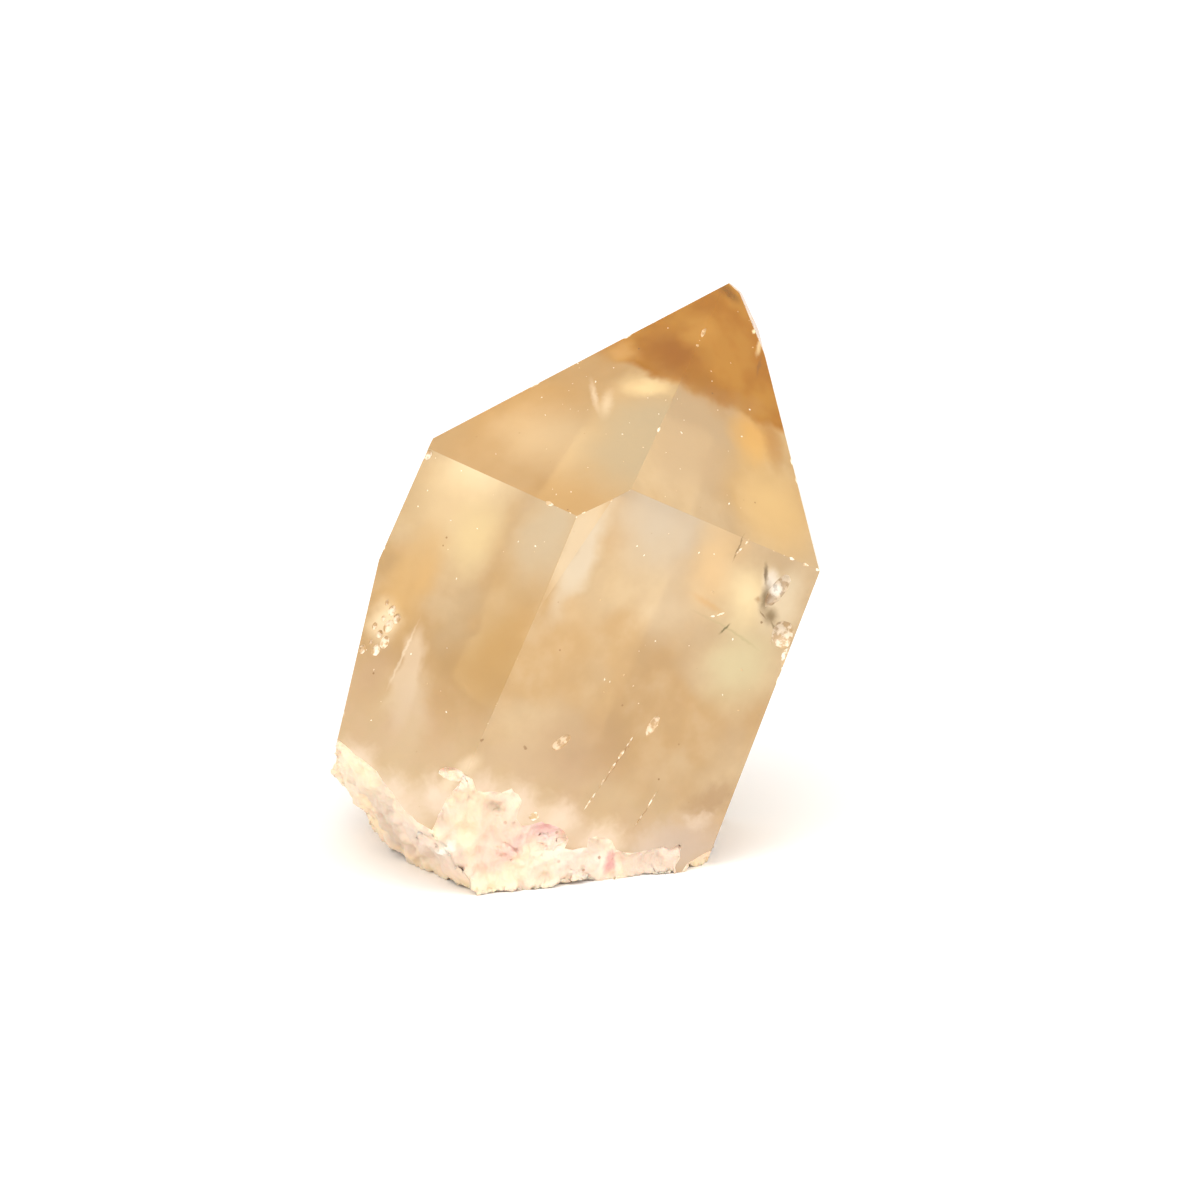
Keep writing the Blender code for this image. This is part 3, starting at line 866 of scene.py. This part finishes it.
@dataclass
class CrystalPoint:
    """The stone itself: facets, worn edges, flakes, scratches, pits and the rough root.

    Sizes are in millimetres, areas in square millimetres and angles in degrees.
    """

    merge: float = 0.002
    flat_within: float = 0.3
    grown_area: float = 6.0
    resting_z: float = -0.95
    level_within: float = 0.05
    strip_length: float = 2.0
    strip_width: float = 0.01
    seed: int = 11
    flake_raggedness: float = 0.22
    nick_groups_per_mm: float = 0.09
    nick_radius: float = 0.26
    nick_spread: float = 0.9
    face_pits: int = 300
    nicked_length: float = 1.5
    nicked_angle: float = 4.0
    edge_wear: float = 0.045
    worn_length: float = 3.0
    worn_angle: float = 20.0
    pit_radius: float = 0.075
    pitted_part: tuple[float, float] = (0.25, 0.97)
    scratch_step: float = 1.5
    scratch_fill: float = 0.89
    scratch_room: float = 1.1
    root_cuts: int = 2
    lump_size: float = 1.5
    lump_height: float = 1.4
    grain_size: float = 0.5
    grain_height: float = 0.45
    scratches: tuple[Scratch, ...] = (
        Scratch(((7.45, 12.19, -7.36), (7.05, 12.4, -9.6), (6.60, 12.65, -12.16), (6.2, 12.8, -14.2))),
        Scratch(((10.78, 10.38, -10.42), (10.6, 10.5, -12.2), (10.28, 10.66, -13.77)), 0.12),
        Scratch(((9.6, 11.1, 10.0), (9.3, 11.2, 9.0), (8.9, 11.4, 8.0)), 0.1),
        Scratch(((9.35, 11.2, 10.1), (9.05, 11.3, 9.1), (8.65, 11.5, 8.1)), 0.1),
        Scratch(((10.1, 10.8, 3.9), (9.5, 11.1, 3.3), (9.08, 11.3, 3.1)), 0.11),
    )

    def build(self) -> bpy.types.Object:
        """Models the stone and dresses it.

        Returns:
            The finished piece.
        """
        piece = self.copied_solid()
        self.part_off_root(piece)
        flakes = self.flakes(piece)
        self.wear_edges(piece)
        self.cut(piece, flakes)
        self.roughen_root(piece)
        self.shade(piece)
        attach(piece, "root")
        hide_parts(SOLID)
        log.info("crystal_point: %d faces", len(piece.data.polygons))
        return piece

    def copied_solid(self) -> bpy.types.Object:
        """Copies the solid, merges its loose triangles and joins them into whole facets.

        Returns:
            The copy.
        """
        piece = bpy.data.objects.new("crystal_point", frame["nodes"][SOLID].data.copy())
        bpy.context.collection.objects.link(piece)
        piece.data.materials.clear()
        for finish in (HoneyQuartz(), FrostedQuartz(), RootRock()):
            piece.data.materials.append(finish.material())
        with editing(piece):
            bpy.ops.mesh.select_all(action="SELECT")
            bpy.ops.mesh.remove_doubles(threshold=self.merge * MM)
            bpy.ops.mesh.dissolve_limited(angle_limit=radians(self.flat_within))
        return piece

    def is_wide(self, face: bpy.types.MeshPolygon) -> bool:
        """Says whether a face is too wide to be part of a break and isn't the one the stone rests on."""
        return face.area > self.grown_area * MM * MM and face.normal.z > self.resting_z

    def grown_planes(self, mesh: bpy.types.Mesh) -> dict[Facet, float]:
        """Finds how far out the plane of each grown facet lies.

        Args:
            mesh: The stone's mesh with whole facets.

        Returns:
            Each facet's distance from the world's origin, in metres.
        """
        planes = {facet_of(face.normal): face for face in mesh.polygons if self.is_wide(face)}
        planes.pop(Facet.OTHER, None)
        return {facet: looks(*FACET_LOOKS[facet]).dot(face.center) for facet, face in planes.items()}

    def is_grown(self, mesh: bpy.types.Mesh, face: bpy.types.MeshPolygon,
                 planes: dict[Facet, float]) -> bool:
        """Says whether a face is part of a flat facet that the stone grew.

        Args:
            mesh: The stone's mesh.
            face: One of its faces.
            planes: How far out the plane of each facet lies.

        Returns:
            True for a wide face, one in the plane of a facet, or a hair-thin strip along one.
        """
        facet = facet_of(face.normal)
        level = False
        if facet in planes:
            off = looks(*FACET_LOOKS[facet]).dot(face.center) - planes[facet]
            level = abs(off) < self.level_within * MM
        longest = max((mesh.vertices[end].co - mesh.vertices[start].co).length
                      for start, end in face.edge_keys)
        strip = longest > self.strip_length * MM and face.area < self.strip_width / 2 * MM * longest
        return self.is_wide(face) or strip or level

    def part_off_root(self, piece: bpy.types.Object) -> None:
        """Gives the broken root and the chips their own finishes.

        Args:
            piece: The stone with whole facets.
        """
        mesh = piece.data
        planes = self.grown_planes(mesh)
        grown = {face.index for face in mesh.polygons if self.is_grown(mesh, face, planes)}
        broken = (face for face in mesh.polygons if face.index not in grown)
        lowest = min(broken, key=lambda face: face.center.z).index
        with editing(piece):
            bpy.ops.mesh.select_mode(type="FACE")
            bpy.ops.mesh.select_all(action="DESELECT")
        for index in grown:
            mesh.polygons[index].select = True
        with editing(piece):
            bpy.ops.mesh.hide()
        mesh.polygons[lowest].select = True
        with editing(piece):
            bpy.ops.mesh.select_linked()
        for face in mesh.polygons:
            chipped = Finish.ROOT if face.select else Finish.FROSTED
            face.material_index = Finish.HONEY if face.index in grown else chipped
        with editing(piece):
            bpy.ops.mesh.reveal(select=False)

    def flake(self) -> bpy.types.Object:
        """Models the one flake that every nick, pit and scratch is cut with.

        Returns:
            The flake, one metre in radius, which each copy makes small.
        """
        bpy.ops.object.select_all(action="DESELECT")
        bpy.ops.mesh.primitive_ico_sphere_add(subdivisions=1, radius=1.0)
        flake = bpy.context.object
        with editing(flake):
            bpy.ops.transform.vertex_random(offset=self.flake_raggedness, seed=self.seed)
        return flake

    def wear_edges(self, piece: bpy.types.Object) -> None:
        """Wears the sharp edges between the grown facets into fine pale lines.

        Args:
            piece: The stone with whole facets.
        """
        worn = self.grown_edges(piece, self.worn_length, self.worn_angle)
        with editing(piece):
            bpy.ops.mesh.select_mode(type="EDGE")
            bpy.ops.mesh.select_all(action="DESELECT")
        for edge in piece.data.edges:
            edge.select = edge.key in worn
        with editing(piece):
            bpy.ops.mesh.bevel(offset=self.edge_wear * MM, segments=1, clamp_overlap=True)

    def flakes(self, piece: bpy.types.Object) -> bpy.types.Object:
        """Scatters flakes along the edges, along the scratches and over the faces, as one cutter.

        Args:
            piece: The stone with whole facets.

        Returns:
            The joined cutter.
        """
        bed, chance = FlakeBed(), Random(self.seed)
        self.nick(piece, bed, chance)
        self.scratch(piece, bed, chance)
        self.pit(piece, bed, chance)
        log.info("flakes: %d", len(bed.shapes))
        cutter = bed.cutter(self.flake())
        cutter.data.materials.append(piece.data.materials[Finish.FROSTED])
        return cutter

    def nick(self, piece: bpy.types.Object, bed: FlakeBed, chance: Random) -> None:
        """Lays groups of nicks along the edges between the grown facets.

        Args:
            piece: The stone with whole facets.
            bed: Where the flakes go.
            chance: The stone's random draws.
        """
        for key, normal in self.grown_edges(piece, self.nicked_length, self.nicked_angle).items():
            start, end = (piece.data.vertices[index].co.copy() for index in key)
            length = (end - start).length / MM
            for _ in range(max(1, round(length * self.nick_groups_per_mm))):
                group = chance.uniform(0.0, 1.0)
                for _ in range(chance.randint(1, 5)):
                    share = min(0.99, max(0.01, group + chance.gauss(0.0, self.nick_spread) / length))
                    size = self.nick_radius * chance.uniform(0.3, 1.0) ** 2
                    radii = (size * chance.uniform(0.6, 1.0), size * chance.uniform(1.0, 2.8), size * 0.55)
                    bed.lay(start.lerp(end, share), normal, radii, roll_along(normal, end - start))

    def scratch(self, piece: bpy.types.Object, bed: FlakeBed, chance: Random) -> None:
        """Lays long flakes end to end along the scratches.

        Args:
            piece: The stone with whole facets.
            bed: Where the flakes go.
            chance: The stone's random draws.
        """
        for scratch in self.scratches:
            for start, end in zip(scratch.path, scratch.path[1:]):
                first, last = STONE.world(start), STONE.world(end)
                steps = max(1, round((last - first).length / MM / self.scratch_step))
                half = self.scratch_fill / 2 * (last - first).length / MM / steps
                for step in range(steps):
                    target = first.lerp(last, (step + 0.5) / steps)
                    _, spot, normal, _ = piece.closest_point_on_mesh(target)
                    radii = (scratch.width * chance.uniform(0.4, 1.0), half, scratch.depth)
                    bed.lay(spot, normal, radii, roll_along(normal, last - first), self.scratch_room)

    def pit(self, piece: bpy.types.Object, bed: FlakeBed, chance: Random) -> None:
        """Strews pits over the grown facets from all round the stone.

        Args:
            piece: The stone with whole facets.
            bed: Where the flakes go.
            chance: The stone's random draws.
        """
        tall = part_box(SOLID)[1].z
        outside_radius, rise = 50 * MM, 4 * MM
        for _ in range(self.face_pits):
            angle, high = chance.uniform(0, 2 * pi), chance.uniform(*self.pitted_part) * tall
            outside = Vector((cos(angle) * outside_radius, sin(angle) * outside_radius, high + rise))
            hit, spot, normal, index = piece.ray_cast(outside, (Vector((0, 0, high)) - outside).normalized())
            if hit and piece.data.polygons[index].material_index == Finish.HONEY:
                size = self.pit_radius * chance.uniform(0.4, 1.0)
                radii = (size, size * chance.uniform(0.9, 2.2), size * 0.5)
                bed.lay(spot, normal, radii, chance.uniform(0, pi))

    def grown_edges(self, piece: bpy.types.Object, longer: float,
                    sharper: float) -> dict[tuple[int, int], Vector]:
        """Finds the edges between two grown facets.

        Args:
            piece: The stone with whole facets.
            longer: The length that an edge has to pass, in millimetres.
            sharper: The angle between its facets that it has to pass, in degrees.

        Returns:
            The direction each edge looks, by its two vertex numbers.
        """
        mesh = piece.data
        sides: dict[tuple[int, int], list[Vector]] = {}
        for face in mesh.polygons:
            if face.material_index == Finish.HONEY:
                for key in face.edge_keys:
                    sides.setdefault(key, []).append(face.normal.copy())
        found = {}
        for key, normals in sorted(sides.items()):
            start, end = (mesh.vertices[index].co for index in key)
            long = (end - start).length > longer * MM
            if long and len(normals) == 2 and normals[0].angle(normals[1]) > radians(sharper):
                found[key] = (normals[0] + normals[1]).normalized()
        return found

    def cut(self, piece: bpy.types.Object, cutter: bpy.types.Object) -> None:
        """Cuts the flakes out of the stone, which leaves their finish in the hollows.

        Args:
            piece: The stone.
            cutter: The joined flakes, which go.
        """
        step = piece.modifiers.new("flakes", "BOOLEAN")
        step.operation = "DIFFERENCE"
        step.solver = "EXACT"
        step.material_mode = "TRANSFER"
        step.object = cutter
        only(piece)
        bpy.ops.object.modifier_apply(modifier=step.name)
        bpy.data.objects.remove(cutter)

    def roughen_root(self, piece: bpy.types.Object) -> None:
        """Gives the broken root its lumps and grain, and keeps it above the level it stands on.

        Args:
            piece: The stone with its flakes cut.
        """
        with editing(piece):
            bpy.ops.mesh.select_mode(type="FACE")
            bpy.ops.mesh.select_all(action="SELECT")
            bpy.ops.mesh.quads_convert_to_tris()
            bpy.ops.mesh.select_all(action="DESELECT")
            piece.active_material_index = Finish.ROOT
            bpy.ops.object.material_slot_select()
            bpy.ops.mesh.subdivide(number_cuts=self.root_cuts)
            bpy.ops.mesh.select_all(action="SELECT")
            bpy.ops.mesh.quads_convert_to_tris()
        mesh = piece.data
        inside, rim = set(), set()
        for face in mesh.polygons:
            (inside if face.material_index == Finish.ROOT else rim).update(face.vertices)
        piece.vertex_groups.new(name="relief").add(sorted(inside - rim), 1.0, "REPLACE")
        for name, size, height in (("lumps", self.lump_size, self.lump_height),
                                   ("grain", self.grain_size, self.grain_height)):
            texture = bpy.data.textures.new(name, "CLOUDS")
            texture.noise_scale = size * MM
            texture.noise_depth = 2
            step = piece.modifiers.new(name, "DISPLACE")
            step.texture = texture
            step.texture_coords = "LOCAL"
            step.strength = height * MM
            step.mid_level = 0.5
            step.vertex_group = "relief"
            bpy.ops.object.modifier_apply(modifier=step.name)
            bpy.data.textures.remove(texture)
        for vertex in mesh.vertices:
            vertex.co.z = max(vertex.co.z, 0.0)
        piece.vertex_groups.clear()

    def shade(self, piece: bpy.types.Object) -> None:
        """Keeps the grown facets flat, rounds the root's shading and numbers the facets.

        Args:
            piece: The stone in its final shape.
        """
        numbers = piece.data.attributes.new("facet", "FLOAT", "FACE")
        for face in piece.data.polygons:
            face.use_smooth = face.material_index == Finish.ROOT
            grown = face.material_index == Finish.HONEY
            numbers.data[face.index].value = float(facet_of(face.normal) if grown else Facet.OTHER)


@dataclass(frozen=True)
class VeilMist:
    """The milky mist of a healed crack: fine bubbles that thin out to the crack's rim."""

    mist: Colour = srgb(250, 234, 212)
    thickest: float = 0.42

    def material(self) -> bpy.types.Material:
        """Builds the material, whose cover follows the mesh's own mist attribute.

        Returns:
            The material.
        """
        nodes = NodeTree("veil_mist")
        place = nodes.place()
        wisps = nodes.between(nodes.noise(place, 0.22, 1.0, 0.4), 0.25, 0.7, 0.15, 1.0)
        mist = nodes.add("Attribute", attribute_name="mist")
        cover = nodes.math("MULTIPLY", nodes.math("MULTIPLY", wisps, mist.outputs["Fac"]), self.thickest)
        nodes.feed("Alpha", cover)
        nodes.plain(Base_Color=self.mist, Roughness=0.6)
        return nodes.material


@dataclass(frozen=True)
class Veil:
    """A healed crack inside the stone, in millimetres and degrees.

    It is a thin curtain as wide and high as given, which looks along an azimuth and up, is rolled on
    its face, narrows upwards by its taper and is as misty as given. The higher its rim, the crisper its edge.
    """

    middle: Place
    wide: float
    high: float
    azimuth: float = 0.0
    looks_up: float = 0.0
    roll: float = 0.0
    taper: float = 0.0
    mist: float = 1.0
    rim: float = 2.0


@dataclass
class InnerVeils:
    """The healed cracks and milky curtains inside the stone."""

    thickness: float = 0.12
    wave: float = 0.7
    wave_size: float = 3.0
    veils: tuple[Veil, ...] = (
        Veil((-8.2, 10.8, -12.0), 1.9, 4.8, -31.5, 0.0, -16.0, 0.6, 0.7, 2.0),
        Veil((-4.9, 6.0, 14.2), 0.5, 2.2, 0.0, 20.0, -22.0, 0.9, 1.3, 4.0),
        Veil((-6.4, 10.8, 2.0), 2.6, 4.2, -35.0, 4.0, 15.0, 0.2, 0.8),
        Veil((9.6, 7.6, 2.2), 3.4, 1.9, 25.0, 74.0, 8.0, 0.2, 1.1, 4.0),
        Veil((12.2, 6.6, 4.6), 1.1, 2.4, 40.0, 0.0, 6.0, 0.3, 1.6, 4.0),
        Veil((1.0, 8.6, -9.0), 6.4, 4.4, 5.0, 12.0, 10.0, 0.1, 0.5),
        Veil((4.0, -8.0, -3.0), 4.8, 6.0, 160.0, 5.0, 12.0, 0.5, 1.0),
        Veil((-6.5, -6.0, 3.0), 3.6, 4.6, -150.0, 10.0, -15.0, 0.5, 1.0),
        Veil((9.5, -2.0, 2.0), 3.2, 5.0, 92.0, 5.0, 18.0, 0.4, 1.0),
        Veil((-10.0, 0.0, -4.0), 3.6, 5.0, -95.0, -10.0, -12.0, 0.4, 1.0),
    )

    def build(self) -> bpy.types.Object:
        """Models the veils and joins them.

        Returns:
            The finished piece.
        """
        piece = joined([self.veil(veil) for veil in self.veils])
        piece.name = "milky_veils"
        piece.data.materials.append(VeilMist().material())
        bpy.ops.object.shade_smooth()
        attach(piece, "root")
        log.info("milky_veils: %d faces", len(piece.data.polygons))
        return piece

    def veil(self, veil: Veil) -> bpy.types.Object:
        """Models one veil as a thin waving lens.

        Args:
            veil: Its place, sizes and turn.

        Returns:
            The veil in its place.
        """
        bpy.ops.object.select_all(action="DESELECT")
        bpy.ops.mesh.primitive_ico_sphere_add(subdivisions=4, radius=1.0)
        item = bpy.context.object
        mist = item.data.attributes.new("mist", "FLOAT", "POINT")
        for vertex in item.data.vertices:
            away = vertex.co.xy.length
            mist.data[vertex.index].value = veil.mist * max(0.0, 1.0 - away ** veil.rim)
        with editing(item):
            bpy.ops.mesh.select_all(action="SELECT")
            bpy.ops.transform.resize(value=(veil.wide * MM, veil.high * MM, self.thickness * MM))
        bend = item.modifiers.new("taper", "SIMPLE_DEFORM")
        bend.deform_method = "TAPER"
        bend.deform_axis = "Y"
        bend.factor = -veil.taper
        texture = bpy.data.textures.new("waves", "CLOUDS")
        texture.noise_scale = self.wave_size * MM
        wave = item.modifiers.new("waves", "DISPLACE")
        wave.texture = texture
        wave.texture_coords = "LOCAL"
        wave.direction = "Z"
        wave.strength = self.wave * MM
        for step in (bend.name, wave.name):
            bpy.ops.object.modifier_apply(modifier=step)
        bpy.data.textures.remove(texture)
        normal = looks(veil.azimuth, veil.looks_up)
        item.matrix_world = (Matrix.Translation(STONE.world(veil.middle)) @ facing(normal)
                             @ Matrix.Rotation(radians(veil.roll), 4, "Z"))
        bpy.ops.object.transform_apply()
        return item


@dataclass
class Studio:
    """The pale floor, the soft lights and the camera. Powers are in watts and lengths in metres.

    The camera looks down by its elevation, in degrees. Its picture is so many pixels wide, and one pixel
    shows so many millimetres of the stone. It aims some pixels right of the stone's middle and above it.
    """

    floor_size: float = 6.0
    room_light: float = 0.95
    side_power: float = 6.0
    top_power: float = 5.5
    elevation: float = 15.0
    distance: float = 0.9
    picture_pixels: int = 1200
    pixel: float = 0.0763
    aim_pixels: tuple[float, float] = (16.8, 1.4)

    def floor(self) -> None:
        """Lays a plain white floor under the stone."""
        bpy.ops.object.select_all(action="DESELECT")
        bpy.ops.mesh.primitive_plane_add(size=self.floor_size)
        floor = bpy.context.object
        floor.name = "floor"
        nodes = NodeTree("white_floor")
        nodes.plain(Base_Color=(0.97, 0.965, 0.955, 1.0), Roughness=0.7)
        floor.data.materials.append(nodes.material)

    def softbox(self, name: str, place: Place, size: float, power: float) -> None:
        """Hangs a square soft light that faces the stone.

        Args:
            name: The light's name.
            place: Where it hangs, in metres.
            size: Its side, in metres.
            power: Its power, in watts.
        """
        light = bpy.data.lights.new(name, "AREA")
        light.size = size
        light.energy = power
        item = bpy.data.objects.new(name, light)
        item.location = place
        item.rotation_euler = (Vector((0, 0, 0.02)) - Vector(place)).to_track_quat("-Z", "Y").to_euler()
        bpy.context.collection.objects.link(item)

    def room(self) -> None:
        """Fills the room with a soft white."""
        world = bpy.data.worlds.new("white_room")
        world.use_nodes = True
        sky = world.node_tree.nodes["Background"]
        sky.inputs["Color"].default_value = (1.0, 0.99, 0.975, 1.0)
        sky.inputs["Strength"].default_value = self.room_light
        scene = bpy.context.scene
        scene.world = world
        scene.view_settings.view_transform = "Standard"
        scene.cycles.use_denoising = True

    def camera(self) -> None:
        """Sets the camera at the viewing angle, far off with a long lens."""
        pixel = self.pixel * MM
        tilt = radians(self.elevation)
        up = Vector((0, sin(tilt), cos(tilt)))
        ahead = Vector((0, cos(tilt), -sin(tilt)))
        right, above = self.aim_pixels
        aim = Vector(STONE.middle) + Vector((1, 0, 0)) * right * pixel + up * above * pixel
        lens = bpy.data.cameras.new("camera")
        lens.sensor_width = 36.0
        lens.angle = 2 * atan(self.picture_pixels * pixel / 2 / self.distance)
        lens.clip_start = 0.01
        camera = bpy.data.objects.new("camera", lens)
        camera.location = aim - ahead * self.distance
        camera.rotation_euler = (radians(90.0) - tilt, 0, 0)
        bpy.context.collection.objects.link(camera)
        bpy.context.scene.camera = camera

    def build(self) -> None:
        """Sets up the whole studio."""
        self.floor()
        self.room()
        self.softbox("left_softbox", (-0.9, -0.9, 0.9), 0.8, self.side_power)
        self.softbox("right_softbox", (0.9, -0.7, 0.8), 0.8, self.side_power)
        self.softbox("top_softbox", (0.0, -0.75, 1.15), 0.9, self.top_power)
        self.camera()
        log.info("studio: floor, three softboxes and camera")


def main() -> None:
    """Builds the studio, the stone and its inner veils in order."""
    logging.basicConfig(level=logging.INFO, format="%(name)s %(message)s")
    Studio().build()
    CrystalPoint().build()
    InnerVeils().build()


if __name__ == "__main__":
    main()
